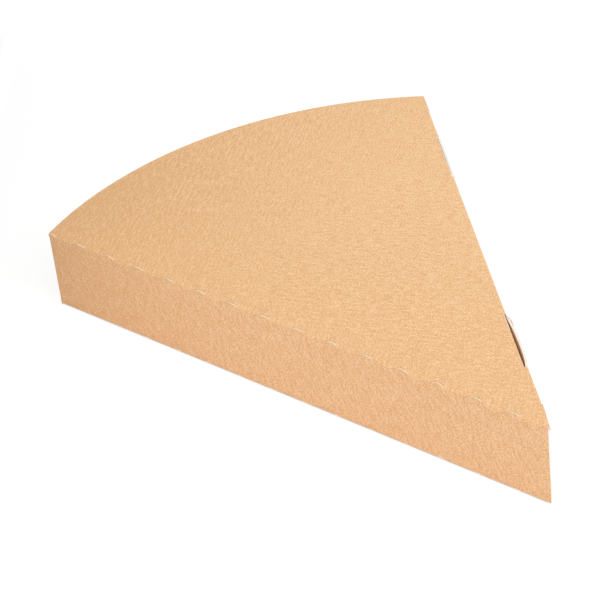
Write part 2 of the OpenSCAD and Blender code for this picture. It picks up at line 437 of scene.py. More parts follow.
def inside(points, loops):
    """Which points lie within an odd number of closed loops"""
    odd = np.zeros(len(points), bool)
    px, py = points[:, 0], points[:, 1]
    for loop in loops:
        ring = np.array(loop)
        for (ax, ay), (bx, by) in zip(ring, np.roll(ring, -1, axis=0)):
            if ay == by:
                continue
            hit = (ay > py) != (by > py)
            odd ^= hit & (px < (bx - ax) * (py - ay) / (by - ay) + ax)
    return odd


def fill(loops, rows):
    """Fills closed loops with triangles whose edges follow the rows"""
    points, edges = [], []
    for loop in loops:
        first = len(points)
        points += loop
        edges += [(first + i, first + (i + 1) % len(loop)) for i in range(len(loop))]
    for row in rows:
        first = len(points)
        points += row
        edges += [(first + i, first + i + 1) for i in range(len(row) - 1)]
    found = geometry.delaunay_2d_cdt([Vector(p) for p in points], edges, [], 0, 2e-6, False)
    flat = np.array([tuple(p) for p in found[0]])
    tris = np.array([tuple(f) for f in found[2]])
    tris = tris[inside(flat[tris].mean(axis=1), loops)]
    used, tris = np.unique(tris, return_inverse=True)
    return flat[used].tolist(), tris.reshape(-1, 3)


def samples(low, high, step):
    """Evenly spaced values from low to high"""
    count = max(1, math.ceil(abs(high - low) / step))
    return [low + (high - low) * i / count for i in range(count + 1)]


class Board:
    """Collects sheets of board in one mesh, each with two liners and its cut edges"""

    def __init__(self, thickness):
        self.t = thickness
        self.points, self.depth, self.wear, self.uv = [], [], [], []
        self.faces, self.kind = [], []

    def add(self, loops, rows, place, unrolled, worn):
        flat, tris = fill(loops, rows)
        first, count = len(self.points), len(flat)
        outer = [place(x, y, 0.0) for x, y in flat]
        inner = [place(x, y, self.t) for x, y in flat]
        self.points += outer + inner
        self.depth += [0.0] * count + [1.0] * count
        self.uv += [unrolled(x, y) for x, y in flat] * 2
        a, b, c = (outer[i] for i in tris[len(tris) // 2])
        i = tris[len(tris) // 2][0]
        if (b - a).cross(c - a).dot(outer[i] - inner[i]) < 0:
            tris = tris[:, ::-1]
        sides = {}
        for f in tris.tolist():
            for k in range(3):
                sides[(f[k], f[(k + 1) % 3])] = True
            self.faces += [[first + v for v in f], [first + count + v for v in f[::-1]]]
            self.kind += [0, 1]
        rim = set()
        for a, b in sides:
            if (b, a) not in sides:
                rim |= {a, b}
                self.faces.append([first + b, first + a, first + count + a, first + count + b])
                self.kind.append(2)
        self.wear += [w if i in rim or w == 1 else 0.0
                      for i, w in enumerate(worn(x, y) for x, y in flat)] * 2

    def make(self, name, materials):
        mesh = bpy.data.meshes.new(name)
        mesh.from_pydata([tuple(p) for p in self.points], [], self.faces)
        for m in materials:
            mesh.materials.append(m)
        mesh.polygons.foreach_set("material_index", self.kind)
        mesh.polygons.foreach_set("use_smooth", [True] * len(self.faces))
        corners = np.empty(len(mesh.loops), np.int32)
        mesh.loops.foreach_get("vertex_index", corners)
        layer = mesh.uv_layers.new(name="sheet")
        layer.data.foreach_set("uv", np.array(self.uv)[corners].ravel())
        for key, values in (("depth", self.depth), ("wear", self.wear)):
            mesh.attributes.new(key, "FLOAT", "POINT").data.foreach_set("value", values)
        mesh.set_sharp_from_angle(angle=math.radians(38))
        mesh.update()
        return in_scene(name, mesh)


def rounded(points, radii, steps=7):
    """Corner points of a polygon, each rounded with its own radius"""
    out = []
    for i, (p, r) in enumerate(zip(points, radii)):
        p = Vector(p)
        a = (Vector(points[i - 1]) - p).normalized()
        b = (Vector(points[(i + 1) % len(points)]) - p).normalized()
        if r == 0:
            out.append(tuple(p))
            continue
        opening = a.angle(b)
        back = r / math.tan(opening / 2)
        centre = p + (a + b).normalized() * r / math.sin(opening / 2)
        for k in range(steps + 1):
            way = (p + a * back - centre).lerp(p + b * back - centre, k / steps)
            out.append(tuple(centre + r * way.normalized()))
    return out


def edge_steps(form, low, high, coarse=0.001, fine=0.00025):
    """Places along a front fold, close together where a cut passes"""
    out = set(samples(low, high, coarse))
    for stop, a, b, _ in form.marks:
        for u in samples(a - form.cuts.gap, b + form.cuts.gap, fine):
            out.add(u)
    for stop, a, b, _ in form.marks:
        out |= {a, b, stop - 0.1 * form.cuts.length}
    return sorted(u for u in out if low - 1e-9 <= u <= high + 1e-9)


def line_end(form, y):
    """Where the curved end crosses a line at a distance y inside the front"""
    return form.arc_c.x - math.sqrt(form.arc_r ** 2 - (y - form.arc_c.y) ** 2)


def tip_end(form, y):
    """Where the back side's plane crosses that line"""
    return -y * form.cos / form.sin


def lid_board(form):
    """The lid with its hinge fold and its tuck flap"""
    b, k, r, q = form.box, form.locks, form.r, form.quarter
    hinge_y = r - q
    board = Board(form.t)

    # Front edge from the tip to the crust corner, with a notch at each tongue
    loop = []
    for u in reversed(edge_steps(form, 0.0002, form.side - 0.0001)):
        loop.append((u - form.side, hinge_y + form.notch(u, form.upper)[0]))
    # Round the corner of the bend at the crust end, and on along the curved end
    for i in range(6):
        run = q * i / 6
        inward, _ = form.bend(run, 0)
        loop.append((line_end(form, inward), hinge_y + run))
    start = Vector((line_end(form, r), r)) - form.arc_c
    ends = Vector(form.mirror(-form.side, 0)) - form.arc_c
    a0 = math.atan2(start.y, start.x) % (2 * math.pi)
    a1 = math.atan2(ends.y, ends.x) % (2 * math.pi)
    for a in samples(a0, a1, 0.0015 / form.arc_r):
        loop.append(tuple(form.arc_c + form.arc_r * Vector((math.cos(a), math.sin(a)))))

    # Back edge: straight to the flap, round the flap, and straight to the tip
    def seen(s, n):
        return form.mirror(-s, n)

    def flap_run(z):
        low, high = 0.0, form.knee_run + 0.05
        for _ in range(40):
            mid = (low + high) / 2
            s = form.side / 2
            low, high = (mid, high) if form.lid(*seen(s, r - mid), 0.0).z > z else (low, mid)
        return low
    f0, f1 = k.flap_inset, form.side - k.flap_inset
    top, end_z, low_z = b.height + 0.01, b.height - 0.003, b.height - k.flap_depth
    outline = rounded(
        [(f1, top), (f1, end_z), (f1 - 0.026, low_z), (f0 + 0.062, low_z), (f0, end_z), (f0, top)],
        [0, 0, 0.008, 0.008, 0, 0])
    relief = 0.0003
    loop += [seen(s, 0) for s in samples(form.side, f1 + relief, 0.002)[1:]]
    loop += [seen(f1 + relief, r), seen(f1, r)]
    loop += [seen(f1, r - w) for w in samples(0, flap_run(end_z), 0.0003)[1:]]
    path = outline[1:-1]
    for (sa, za), (sb, zb) in zip(path, path[1:]):
        count = max(1, math.ceil(math.hypot(sb - sa, zb - za) / 0.002))
        for i in range(1, count + 1):
            s, z = sa + (sb - sa) * i / count, za + (zb - za) * i / count
            loop.append(seen(s, r - flap_run(z)))
    loop += [seen(f0, r - w) for w in samples(flap_run(end_z), 0, 0.0003)[1:]]
    loop += [seen(f0 - relief, r)]
    loop += [seen(s, 0) for s in samples(f0 - relief, 0.002, 0.002)]
    # The tip end of the hinge fold, cut off along the back side
    for i in range(6, 0, -1):
        run = q * i / 6
        inward, _ = form.bend(run, 0)
        loop.append((tip_end(form, inward), hinge_y + run))

    slots = []
    wide = form.t + k.slot_gap
    deep = form.knee_run + k.slot_gap / math.cos(k.flap_lean)
    for s in form.slots:
        ring = [seen(v, wide - form.drawn_in(v, wide)) for v in samples(s, s + k.slot, 0.001)]
        ring += [seen(s + k.slot, r - w) for w in samples(r - wide, deep, 0.0003)[1:]]
        ring += [seen(v, r - deep) for v in samples(s + k.slot, s, 0.001)[1:]]
        ring += [seen(s, r - w) for w in samples(deep, r - wide, 0.0003)[1:-1]]
        slots.append(ring)

    rows = []
    us = samples(-0.004, form.side + 0.002, 0.001)
    for run in [q * i / 7 for i in range(1, 8)]:
        rows.append([(u - form.side, hinge_y + run) for u in us])
    for y in (r + 0.0008, r + 0.002, r + 0.005):
        rows.append([(u - form.side, y) for u in us[::2]])
    ss = samples(f0, f1, 0.001)
    turn = form.flap_turn
    runs = [turn * i / 8 for i in range(9)]
    runs += [form.knee_run - 0.0012, form.knee_run, form.knee_run + 0.0012]
    for w in runs:
        rows.append([seen(s, r - w) for s in ss])
    for n in (r + 0.001, r + 0.003, 0.007, 0.014, 0.022, 0.03):
        rows.append([seen(s, n) for s in samples(2.6 * n, form.side - 0.004, 0.003)])
    for s in form.slots:
        for n in (wide + 0.0002, wide + 0.0005):
            rows.append([seen(v, n - form.drawn_in(v, n))
                         for v in samples(s - 0.0004, s + k.slot + 0.0004, 0.001)])

    def worn(x, y):
        if y < 0.004:
            return 0.8
        s, n = form.mirror(x, y)
        near = any(v - 0.0002 < -s < v + k.slot + 0.0002 for v in form.slots)
        return 1.0 if near and 0.0004 < n < wide + 0.00025 else 0.0
    board.add([loop] + slots, rows, form.lid, lambda x, y: (x, y - hinge_y), worn)
    return board


def front_board(form, board):
    """The front wall: its lower edge bends into the bottom, its upper edge carries the tongues"""
    q, r = form.quarter, form.r
    left = form.r
    right = form.side - form.box.front_short
    top = form.wall_run
    loop = []
    for u in edge_steps(form, left, form.side - 0.0004):
        loop.append((u - form.side, form.notch(u, form.lower)[0]))
    for i in range(0, 7):
        run = q * i / 6
        up, out = form.bend(run, 0)
        loop.append((tip_end(form, r - out), run))
    loop.append((0.0, q + 2 * r))
    for u in reversed(edge_steps(form, left, right)):
        loop.append((u - form.side, top - OVERLAP + max(form.tongue(u, form.upper), 0)))
    rows = []
    us = samples(0, form.side + 0.002, 0.001)
    for run in [q * i / 7 for i in range(1, 8)]:
        rows.append([(u - form.side, run) for u in us])
    for run in (q + 0.001, q + 0.003, q + 0.008, top - 0.008, top - 0.003, top - 0.001, top):
        rows.append([(u - form.side, run) for u in us[::2]])
    inset = 0.00035
    for _, low, high, _ in form.marks:
        row = [(u, form.tongue(u, form.upper) - inset) for u in samples(low, high, 0.0003)[1:-1]]
        rows.append([(u - form.side, top + h) for u, h in row if h > inset])
    board.add([loop], rows, form.front, lambda x, w: (x, w - top),
              lambda x, w: 0.8 if w > top + 0.0002 else 0.0)


def base_board(form, board):
    """The bottom panel, the back wall and the two lock tabs"""
    b, k, r, q = form.box, form.locks, form.r, form.quarter
    top = form.wall_run

    def seen(s, n):
        return form.mirror(-s, n)
    corner = -(r * form.cos + r) / form.sin
    loop = []
    inner_r = form.arc_r - form.t
    left = form.arc_c.x - math.sqrt(inner_r ** 2 - (r - form.arc_c.y) ** 2)
    for u in reversed(edge_steps(form, left + form.side, form.side + corner)):
        loop.append((u - form.side, r - max(form.tongue(u, form.lower), 0)))
    far = Vector((left, r)) - form.arc_c
    s_end = form.back_ends[1]
    reach = Vector(seen(s_end, r + 0.0008)) - form.arc_c
    a0 = math.atan2(far.y, far.x) % (2 * math.pi)
    a1 = math.atan2(reach.y, reach.x) % (2 * math.pi)
    for a in samples(a0, a1, 0.003 / inner_r)[:-1]:
        loop.append(tuple(form.arc_c + inner_r * Vector((math.cos(a), math.sin(a)))))

    def up(z):
        return r - (q + z - r)
    heads = []
    for s0, rise in zip(form.slots, (k.near_rise, k.far_rise)):
        a, e = s0 + k.end_gap, s0 + k.slot - k.end_gap
        heads.append(rounded(
            [(e, form.back_top), (e, b.height + rise), (a, b.height + rise), (a, form.back_top)],
            [0, k.corner, k.corner, 0]))
    loop += [seen(s_end, r - w) for w in samples(0, q, q / 8)]
    walk = [(s_end, form.back_top)] + heads[1] + heads[0] + [(form.back_ends[0], form.back_top)]
    for (sa, za), (sb, zb) in zip(walk, walk[1:]):
        count = max(1, math.ceil(math.hypot(sb - sa, zb - za) / 0.001))
        for i in range(count):
            loop.append(seen(sa + (sb - sa) * i / count, up(za + (zb - za) * i / count)))
    loop.append(seen(form.back_ends[0], up(form.back_top)))
    loop += [seen(form.back_ends[0], r - w) for w in samples(q, 0, q / 8)]
    rows = []
    for w in [q * i / 8 for i in range(9)]:
        rows.append([seen(s, r - w) for s in samples(form.back_ends[0], s_end, 0.002)])
    for z in (0.006, 0.012, 0.018, 0.024, form.back_top, form.back_top + 0.0015,
              form.back_top + 0.003, b.height):
        rows.append([seen(s, up(z)) for s in samples(form.back_ends[0], s_end, 0.002)])
    board.add([loop], rows, form.base, lambda x, y: (x, -top - (y - r)), lambda x, y: 0.0)


def end_board(form, board):
    """The curved end wall with its score lines, and the flap glued inside the back wall"""
    b, w, r, t = form.box, form.wall, form.r, form.t
    centre = Vector((form.arc_c.x - math.sqrt((form.arc_r - r) ** 2 - (r - form.arc_c.y) ** 2), r))
    stations = []
    x0 = -form.side + r
    stations.append((Vector((x0, 0)), Vector((0, 1))))
    first = math.atan2(-1, 0)
    to = form.arc_c - centre
    last = math.atan2(-to.y, -to.x)
    if last > first:
        last -= 2 * math.pi
    for a in samples(first, last, math.radians(14)):
        out = Vector((math.cos(a), math.sin(a)))
        stations.append((centre + r * out, -out))
    a0 = math.atan2((centre - form.arc_c).y, (centre - form.arc_c).x) % (2 * math.pi)
    near = form.t - OVERLAP
    for i in range(4000):
        a = a0 - i * 0.0005
        p = form.arc_c + form.arc_r * Vector((math.cos(a), math.sin(a)))
        if form.mirror(p.x, p.y)[1] < near:
            hit = a
            break
    step = w.pitch / form.arc_r
    half = math.pi - b.tip_angle / 2
    scores = [half + i * step for i in range(-7, 8)]
    angles = set(samples(a0, hit, 0.004 / form.arc_r))
    for a in scores:
        for f in (-0.5, -0.42, -0.3, -0.15, 0, 0.15, 0.3, 0.42, 0.5):
            v = a + f * w.width / form.arc_r
            if hit + 0.004 < v < a0 - 0.004:
                angles.add(v)
    dents = {}
    for a in sorted(angles, reverse=True)[1:]:
        out = Vector((math.cos(a), math.sin(a)))
        f = min(abs(a - v) * form.arc_r / w.width for v in scores)
        dents[len(stations)] = w.depth * math.cos(math.pi * min(f, 0.5)) ** 2
        stations.append((form.arc_c + form.arc_r * out, -out))
    turn = len(stations) - 1
    corner = stations[turn][0]
    into = Vector((-form.sin, -form.cos))
    arc_in = stations[turn][1]
    mitre = (arc_in + into) / (1 + arc_in @ into)
    stations[turn] = (corner, mitre)
    s_corner = -form.mirror(corner.x, corner.y)[0]
    for s in samples(s_corner, form.side - w.glue, 0.004)[1:]:
        p = Vector(form.mirror(-s, near))
        stations.append((p, into))
    runs = [0.0]
    for (p, _), (p2, _) in zip(stations, stations[1:]):
        runs.append(runs[-1] + (p2 - p).length)

    def place(run, z, d):
        i = int(np.clip(np.searchsorted(runs, run) - 1, 0, len(runs) - 2))
        f = (run - runs[i]) / (runs[i + 1] - runs[i])
        p = stations[i][0].lerp(stations[i + 1][0], f)
        n = stations[i][1].lerp(stations[i + 1][1], f)
        dent = dents.get(i, 0) * (1 - f) + dents.get(i + 1, 0) * f
        dent *= min(1, max(0, (z - 0.0004) / 0.001))
        p = p + n * (d + dent * (1 - 0.6 * d / t))
        return form.place(p.x, p.y, z)
    wall_top = b.height - t - 0.0001
    glue_top = b.height - w.glue_drop
    low = form.wall_top - OVERLAP
    loop = [(v, 0.0) for v in runs]
    loop += [(runs[-1], z) for z in samples(0, glue_top, 0.004)[1:]]
    loop += [(v, glue_top) for v in reversed(runs[turn:-1])]
    loop += [(runs[turn], z) for z in samples(glue_top, wall_top, 0.004)[1:]]
    loop += [(v, wall_top) for v in reversed(runs[2:turn])]
    loop += [(runs[2], low), (runs[1], low), (0.0, low)]
    rows = [[(v, z) for v in runs] for z in (0.0004, 0.0009, 0.0014, 0.006, 0.012, 0.018, 0.024)]
    rows += [[(v, 0.0), (v, wall_top)] for v in runs[1:turn + 1]]
    board.add([loop], rows, place, lambda v, z: (x0 - v, z - form.wall_top), lambda v, z: 0.0)


# Materials

def hex_colour(code):
    """An sRGB hex value as linear RGBA"""
    out = []
    for i in (1, 3, 5):
        v = int(code[i:i + 2], 16) / 255
        out.append(v / 12.92 if v <= 0.04045 else ((v + 0.055) / 1.055) ** 2.4)
    return (*out, 1.0)


def add(tree, kind, inputs=None, **settings):
    """Adds a node with its settings, and sets or links its inputs"""
    node = tree.nodes.new(kind)
    for key, value in settings.items():
        setattr(node, key, value)
    for key, value in (inputs or {}).items():
        socket = node.inputs[key]
        if isinstance(value, bpy.types.NodeSocket):
            tree.links.new(value, socket)
        else:
            socket.default_value = value
    return node


def calc(tree, operation, *values, **settings):
    """The result of a Math node"""
    return add(tree, "ShaderNodeMath", dict(enumerate(values)), operation=operation,
               **settings).outputs[0]


def remap(tree, value, low, high, to_low=0.0, to_high=1.0):
    """A value carried from one range to another, and held within it"""
    return add(tree, "ShaderNodeMapRange",
               {"Value": value, "From Min": low, "From Max": high, "To Min": to_low,
                "To Max": to_high}).outputs[0]


def mixed(tree, share, first, second, **settings):
    """Two colours mixed by a share"""
    return add(tree, "ShaderNodeMix", {0: share, 6: first, 7: second}, data_type="RGBA",
               **settings).outputs[2]


def toned(tree, colour, gain):
    """A colour made deeper or paler by a gain"""
    return add(tree, "ShaderNodeVectorMath", {0: colour, "Scale": gain},
               operation="SCALE").outputs[0]


def attribute(tree, name):
    """A value that the mesh carries at its points"""
    return add(tree, "ShaderNodeAttribute", attribute_name=name).outputs["Fac"]


def new_material(name):
    """A material with no nodes yet"""
    mat = bpy.data.materials.new(name)
    mat.use_nodes = True
    mat.node_tree.nodes.clear()
    return mat, mat.node_tree


def surface(tree, kind, inputs):
    """Ends a material with one shader"""
    shader = add(tree, kind, inputs)
    add(tree, "ShaderNodeOutputMaterial", {0: shader.outputs[0]})


def flute_frame(tree, finish):
    """The flat sheet in metres, the same in millimetres with the flutes along Y, and their wave"""
    sheet = add(tree, "ShaderNodeUVMap", uv_map="sheet").outputs[0]
    flat = add(tree, "ShaderNodeMapping",
               {"Vector": sheet, "Rotation": (0, 0, finish.flute_turn - math.pi / 2),
                "Scale": (1000, 1000, 1000)}, vector_type="POINT").outputs[0]
    across = add(tree, "ShaderNodeSeparateXYZ", {0: flat}).outputs[0]
    phase = calc(tree, "MULTIPLY", across, 2 * math.pi / (finish.flute * 1000))
    return sheet, flat, calc(tree, "SINE", phase)


def kraft_liner(name, colours, finish):
    """Unbleached kraft liner, machine calendered: matt brown paper with long soft fibres, small
    dark flecks, cloudy pulp and the faint ridges of the flutes glued behind it."""
    mat, tree = new_material(name)
    sheet, flat, wave = flute_frame(tree, finish)

    def clouds(x, y, scale, detail):
        stretched = add(tree, "ShaderNodeVectorMath", {0: flat, 1: (x, y, 1)},
                        operation="MULTIPLY").outputs[0]
        return add(tree, "ShaderNodeTexNoise",
                   {"Vector": stretched, "Scale": scale, "Detail": detail, "Roughness": 0.55},
                   noise_dimensions="2D").outputs[0]

    def sum_of(parts):
        total = 0.0
        for value, weight in parts:
            total = calc(tree, "MULTIPLY_ADD", calc(tree, "ADD", value, -0.5), weight, total)
        return total

    # Scales are per millimetre of sheet. Real fibres are a few hundredths of a millimetre wide,
    # and are drawn some ten times coarser, because a pixel is nearly half a millimetre.
    pulp = clouds(1, 1, 0.05, 2.0)
    mottle = clouds(1, 0.6, 0.25, 1.0)
    along = clouds(1, 0.3, 0.8, 1.0)
    across = clouds(0.34, 1, 0.8, 1.0)
    fine = clouds(1, 0.8, 1.4, 1.0)
    grain = clouds(1, 1, 2.3, 0.0)
    # The flutes and the fibres along them show most on the wall and towards the crust corner
    place = add(tree, "ShaderNodeSeparateXYZ", {0: sheet}).outputs
    near = calc(tree, "MAXIMUM", remap(tree, place[1], 0.012, 0.0),
                remap(tree, place[0], -0.12, -0.21))
    fibre = add(tree, "ShaderNodeMix", {0: near, 2: across, 3: along},
                data_type="FLOAT").outputs[0]
    ridge = calc(tree, "MULTIPLY", wave, remap(tree, near, 0.0, 1.0, 0.25, 1.0))
    ridge = calc(tree, "ADD", ridge, 0.5)
    # Painted shade: the sheet is made deeper in tone towards the crust corner, where the light
    # falls off. It is also paler away from the lid's front
    painted_falloff = remap(tree, place[0], -0.14, -0.24, 0.5, 1.5)
    drift = remap(tree, place[1], 0.0, 0.11, 0.02, 1.0)
    # The front wall is paler than the lid's front strip, most of all towards the tip, and pinker.
    # The paling towards the tip is painted light falloff, and the pinker tint is painted shade.
    upright = remap(tree, place[1], 0.0008, -0.0004)
    reach = remap(tree, place[0], -0.2, -0.1, 0.3, 0.55)
    drift = calc(tree, "MAXIMUM", drift, calc(tree, "MULTIPLY", upright, reach))
    tone = sum_of([(pulp, 0.3), (mottle, 0.5), (fibre, 2.3), (fine, 2.9), (grain, 4.0),
                   (ridge, 0.12), (painted_falloff, -0.45), (drift, 0.5)])
    fleck = remap(tree, clouds(1, 0.6, 0.9, 1.0), 0.66, 0.76, 0.5, 0.05)
    tone = calc(tree, "ADD", tone, fleck, use_clamp=True)
    shade = mixed(tree, tone, *map(hex_colour, colours))
    # Painted shade: the whole tray board is tinted pinker and a little deeper, for the light on the
    # upright wall
    shade = mixed(tree, upright, shade, (1.0, 0.975, 1.005, 1), blend_type="MULTIPLY")
    scuffed = remap(tree, attribute(tree, "wear"), 0.75, 1.0)
    shade = mixed(tree, scuffed, shade, hex_colour(finish.scuffed))
    relief = sum_of([(ridge, 0.3), (fibre, 0.6), (mottle, 0.5), (fine, 0.4)])
    bump = add(tree, "ShaderNodeBump",
               {"Height": relief, "Strength": 0.25, "Distance": 0.00005}).outputs[0]
    surface(tree, "ShaderNodeBsdfPrincipled",
            {"Base Color": shade, "Roughness": remap(tree, fibre, 0.0, 1.0, 0.72, 0.88),
             "Normal": bump, "Specular IOR Level": 0.25, "IOR": 1.5, "Sheen Weight": 0.04,
             "Sheen Roughness": 0.5})


def cut_edge(finish):
    """Die-cut edge of micro-flute board: two thin kraft liners with the wavy medium between them,
    crushed by the rule and paler than the faces because it shows broken fibre. Its near-white core
    is partly a painted highlight of the strong light on the edges, and the hollows between the
    flutes are painted a little deeper as shade."""
    mat, tree = new_material("micro_flute_cut_edge")
    _, flat, wave = flute_frame(tree, finish)
    depth = attribute(tree, "depth")
    centre = calc(tree, "MULTIPLY_ADD", wave, 0.27, 0.5)
    off = calc(tree, "ABSOLUTE", calc(tree, "SUBTRACT", depth, centre))
    middle = calc(tree, "ABSOLUTE", calc(tree, "ADD", depth, -0.5))
    solid = calc(tree, "MAXIMUM", remap(tree, off, 0.06, 0.16, 1.0, 0.0),
                 remap(tree, middle, 0.34, 0.42))
    # Painted shade and highlight: the flute hollows are drawn deeper for the shade in them, and the
    # near-white core is partly a painted highlight of the strong light on the edges
    colour = mixed(tree, solid, hex_colour(finish.hollow_shade), hex_colour(finish.core))
    colour = mixed(tree, remap(tree, middle, 0.46, 0.5), colour, hex_colour(finish.rim))
    crushed = remap(tree, attribute(tree, "wear"), 0.0, 0.8)
    colour = mixed(tree, crushed, colour, hex_colour(finish.crushed))
    grain = add(tree, "ShaderNodeTexNoise",
                {"Vector": flat, "Scale": 2.2, "Detail": 3.0}, noise_dimensions="2D").outputs[0]
    bump = add(tree, "ShaderNodeBump",
               {"Height": solid, "Strength": 0.5, "Distance": 0.0001}).outputs[0]
    surface(tree, "ShaderNodeBsdfPrincipled",
            {"Base Color": toned(tree, colour, remap(tree, grain, 0.0, 1.0, 0.94, 1.04)),
             "Roughness": 0.9, "Normal": bump, "Specular IOR Level": 0.2, "IOR": 1.5,
             "Sheen Weight": 0.6, "Sheen Roughness": 0.6})


def torn_paper(name, colour):
    """Torn paper: soft unsized fibre pulled out of the board, matt and a little uneven in tone."""
    mat, tree = new_material(name)
    where = add(tree, "ShaderNodeTexCoord").outputs["Object"]
    spots = add(tree, "ShaderNodeTexNoise", {"Vector": where, "Scale": 1400.0, "Detail": 2.0})
    gain = remap(tree, spots.outputs[0], 0.0, 1.0, 0.88, 1.06)
    surface(tree, "ShaderNodeBsdfPrincipled",
            {"Base Color": toned(tree, hex_colour(colour)[:3], gain), "Roughness": 0.95,
             "Specular IOR Level": 0.1})
    return mat


def fibre_tree(material):
    """Nodes that grow curled torn fibres out of every edge of a mesh"""
    tree = bpy.data.node_groups.new("torn_fibres", "GeometryNodeTree")
    face = tree.interface
    face.new_socket("Geometry", in_out="INPUT", socket_type="NodeSocketGeometry")
    for name, kind in (("Fibres", "NodeSocketInt"), ("Length", "NodeSocketFloat"),
                       ("Thickness", "NodeSocketFloat"), ("Seed", "NodeSocketInt")):
        face.new_socket(name, in_out="INPUT", socket_type=kind)
    face.new_socket("Geometry", in_out="OUTPUT", socket_type="NodeSocketGeometry")
    got = add(tree, "NodeGroupInput").outputs
    roots = add(tree, "GeometryNodeMeshToCurve", {"Mesh": got["Geometry"]})
    roots = add(tree, "GeometryNodeCurveToPoints",
                {"Curve": roots.outputs[0], "Count": got["Fibres"]}, mode="COUNT").outputs
    bow = add(tree, "GeometryNodeCurveQuadraticBezier",
              {"Resolution": 5, "Start": (0, 0, 0), "Middle": (0.25, 0, 0.6), "End": (0.7, 0, 0.8)})
    size = add(tree, "ShaderNodeCombineXYZ",
               {0: got["Length"], 1: got["Length"], 2: got["Length"]}).outputs[0]
    bow = add(tree, "GeometryNodeTransform", {"Geometry": bow.outputs[0], "Scale": size})
    ring = add(tree, "GeometryNodeCurvePrimitiveCircle",
               {"Resolution": 4, "Radius": got["Thickness"]})
    fibre = add(tree, "GeometryNodeCurveToMesh",
                {"Curve": bow.outputs[0], "Profile Curve": ring.outputs[0], "Fill Caps": True})
    turn = add(tree, "FunctionNodeRandomValue",
               {0: (-1.0, -0.5, 0.0), 1: (0.0, 0.9, 1.2), "Seed": got["Seed"]},
               data_type="FLOAT_VECTOR").outputs[0]
    grow = add(tree, "FunctionNodeRandomValue", {2: 0.45, 3: 1.0, "Seed": got["Seed"]},
               data_type="FLOAT").outputs[1]
    spread = add(tree, "GeometryNodeInstanceOnPoints",
                 {"Points": roots["Points"], "Instance": fibre.outputs[0],
                  "Rotation": turn, "Scale": grow})
    real = add(tree, "GeometryNodeRealizeInstances", {0: spread.outputs[0]})
    done = add(tree, "GeometryNodeSetMaterial", {"Geometry": real.outputs[0],
                                                 "Material": material})
    add(tree, "NodeGroupOutput", {0: done.outputs[0]})
    return tree


def grown_fibres(name, edges, count, length, seed):
    """A mesh of torn fibres along short edges, each given by its two ends"""
    mesh = bpy.data.meshes.new(name)
    mesh.from_pydata([tuple(p) for e in edges for p in e],
                     [(2 * i, 2 * i + 1) for i in range(len(edges))], [])
    obj = in_scene(name, mesh)
    tree = bpy.data.node_groups.get("torn_fibres")
    if tree is None:
        tree = fibre_tree(torn_paper("torn_paper_fibre", bpy.context.scene.slice_finish.torn))
    nodes = obj.modifiers.new("fibres", "NODES")
    nodes.node_group = tree
    values = {"Fibres": count, "Length": length, "Thickness": length * 0.075, "Seed": seed}
    for item in tree.interface.items_tree:
        if item.in_out == "INPUT" and item.name in values:
            nodes[item.identifier] = values[item.name]
    bpy.context.view_layer.update()
    baked = bpy.data.meshes.new_from_object(
        obj.evaluated_get(bpy.context.evaluated_depsgraph_get()))
    obj.modifiers.remove(nodes)
    obj.data = baked
    baked.name = name
    return obj


def board_materials(scene):
    """The finishes of the board: outer liner, inner liner and cut edge"""
    f = scene.slice_finish
    if "kraft_liner_outside" not in bpy.data.materials:
        kraft_liner("kraft_liner_outside", (f.deep, f.pale), f)
        kraft_liner("kraft_liner_inside", (f.deep_in, f.pale_in), f)
        cut_edge(f)
    return [bpy.data.materials[n] for n in
            ("kraft_liner_outside", "kraft_liner_inside", "micro_flute_cut_edge")]


# Operators

class SLICE_OT_tray(bpy.types.Operator):
    """Folds the bottom panel, the front wall, the curved end wall and the back wall"""

    bl_idname = "slice_box.tray"
    bl_label = "Tray"

    def execute(self, context):
        form = Form(context.scene)
        board = Board(form.t)
        front_board(form, board)
        base_board(form, board)
        end_board(form, board)
        tray = board.make("tray_board", board_materials(context.scene))
        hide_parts("tray")
        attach(tray, "tray")
        return {"FINISHED"}


class SLICE_OT_lid(bpy.types.Operator):
    """Folds the lid panel, its hinge fold and its tuck flap"""

    bl_idname = "slice_box.lid"
    bl_label = "Lid"

    def execute(self, context):
        form = Form(context.scene)
        lid = lid_board(form).make("lid_board", board_materials(context.scene))
        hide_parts("lid")
        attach(lid, "lid")
        return {"FINISHED"}


class SLICE_OT_fibres(bpy.types.Operator):
    """Grows the torn fibres at the ends of the cuts and of the slots"""

    bl_idname = "slice_box.fibres"
    bl_label = "Torn fibres"

    def execute(self, context):
        form = Form(context.scene)
        cuts, t = form.cuts, form.t
        ends = []
        for stop, low, high, share in form.marks:
            if high < stop - 1e-6:
                continue
            x = high - form.side - 0.0001
            rim = form.wall_top + 0.45 * form.upper * share
            ends.append((form.place(x, 0.2 * t, rim), form.place(x, 0.9 * t, rim)))
            ends.append((form.place(x, 0.25 * t, 0.0007), form.place(x, 0.25 * t, 0.0011)))
        tray = grown_fibres("tray_fibres", ends, cuts.fibres, cuts.fuzz, 3)
        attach(tray, "tray")
        ends, z = [], form.high - 0.0003
        for s in form.slots:
            for v in (s, s + form.locks.slot):
                ends.append((form.back(v, 0.0004, z), form.back(v, 0.001, z)))
        lid = grown_fibres("lid_fibres", ends, cuts.fibres, cuts.fuzz, 5)
        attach(lid, "lid")
        return {"FINISHED"}


